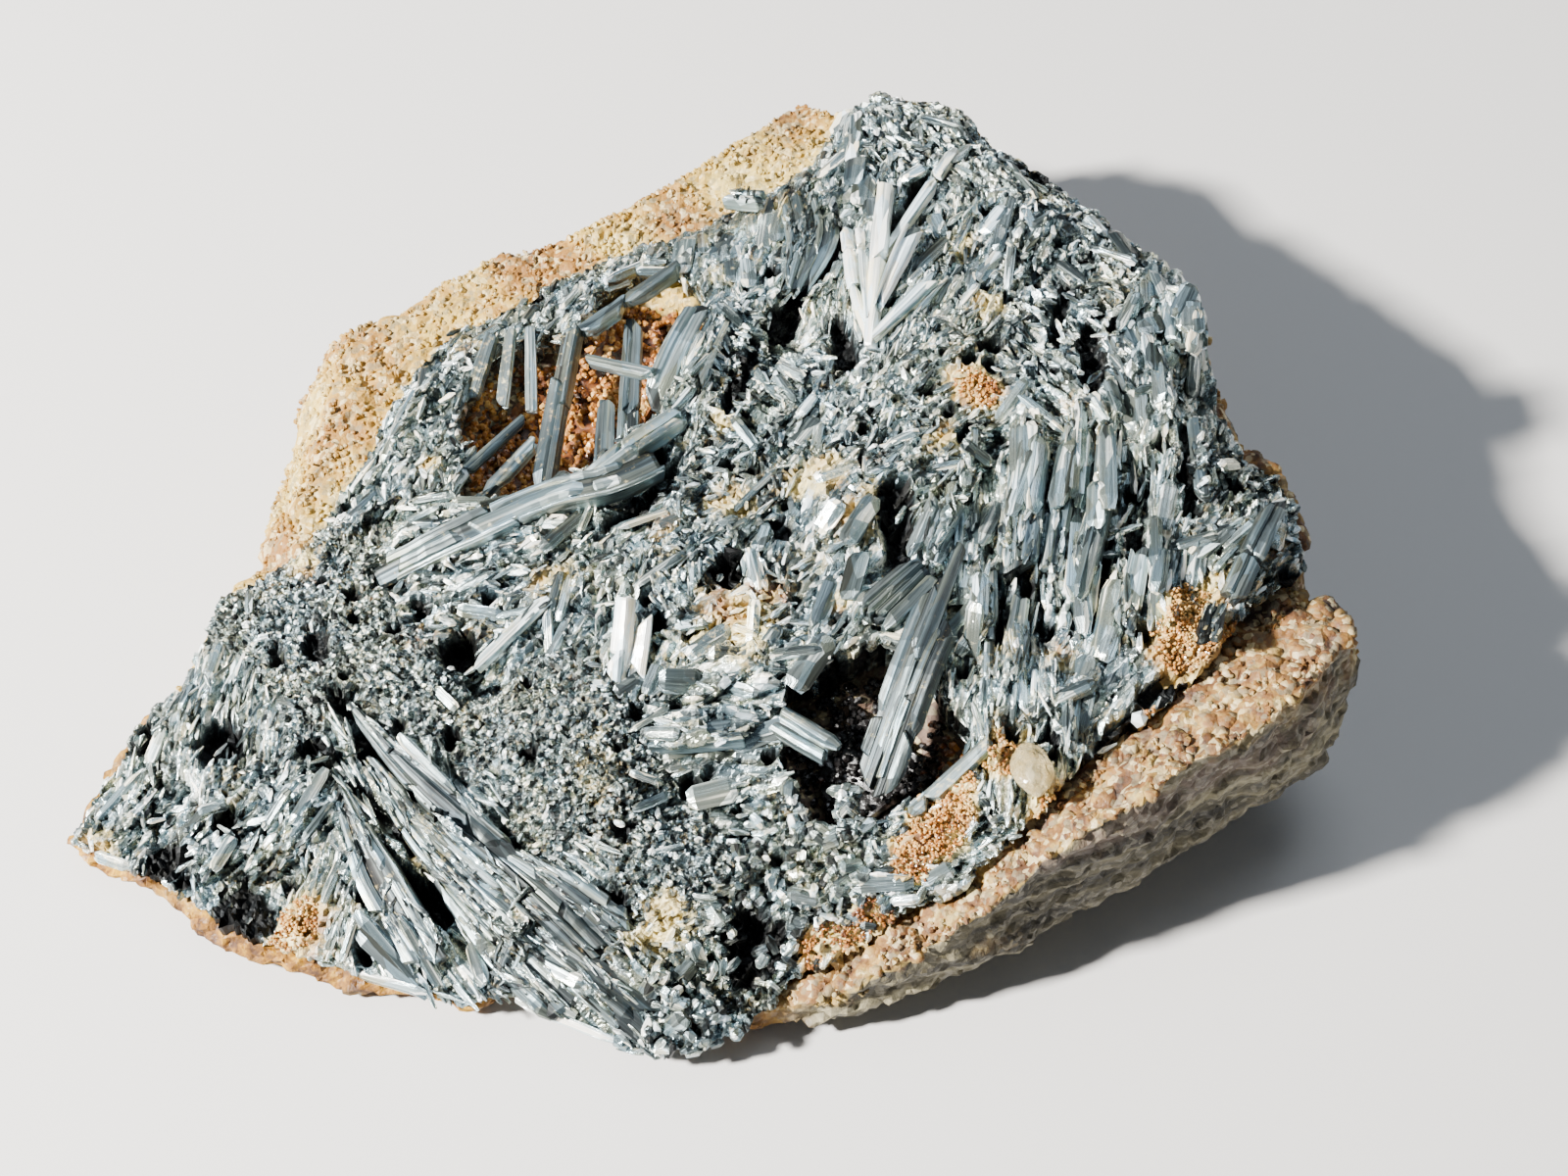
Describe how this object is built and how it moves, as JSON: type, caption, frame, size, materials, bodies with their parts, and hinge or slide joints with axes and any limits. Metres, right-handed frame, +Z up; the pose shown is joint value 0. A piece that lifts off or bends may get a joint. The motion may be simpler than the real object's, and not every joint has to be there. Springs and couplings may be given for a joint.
{
  "type": "stibnite crystal spray",
  "caption": "Mineral specimen: bladed blue-grey stibnite crystals in radiating sprays over a crust on ochre quartz matrix, with two rusty crystal-lined hollows.",
  "frame": {"origin": "under the middle of the specimen's bounding box, on the surface that it rests on", "axes": "+Z up; +X along the longest side towards the thick right corner; the long thin tip is at -X"},
  "size_m": [0.0996, 0.0896, 0.0247],
  "materials": {
    "matrix": "rough, granular, buff to orange",
    "stibnite_crust": "dull metallic blue-grey, finely crystalline",
    "stibnite_blade": "bright metallic, striated along the blades",
    "rusty_druse": "sparkling small crystals, rust orange",
    "quartz": "milky, waxy"
  },
  "bodies": {
    "root": {"matrix": "matrix", "stibnite_crust": "stibnite_crust", "left_hollow_druse": "rusty_druse", "right_hollow_druse": "rusty_druse", "quartz_grain": "quartz", "front_fan": "stibnite_blade", "front_flat_blade": "stibnite_blade", "long_bent_blade": "stibnite_blade", "left_hollow_prism": "stibnite_blade", "left_hollow_needle_1": "stibnite_blade", "left_hollow_needle_2": "stibnite_blade", "left_hollow_needle_3": "stibnite_blade", "left_hollow_needle_4": "stibnite_blade", "left_hollow_needle_5": "stibnite_blade", "left_hollow_blade_1": "stibnite_blade", "left_hollow_blade_2": "stibnite_blade", "left_hollow_blade_3": "stibnite_blade", "left_hollow_blade_4": "stibnite_blade", "left_hollow_blade_5": "stibnite_blade", "upper_fan": "stibnite_blade", "upper_plate": "stibnite_blade", "centre_prism": "stibnite_blade", "right_hollow_sheaf": "stibnite_blade", "right_hollow_stub": "stibnite_blade", "right_hollow_needle": "stibnite_blade", "edge_dark_blade": "stibnite_blade"}
  },
  "joints": []
}
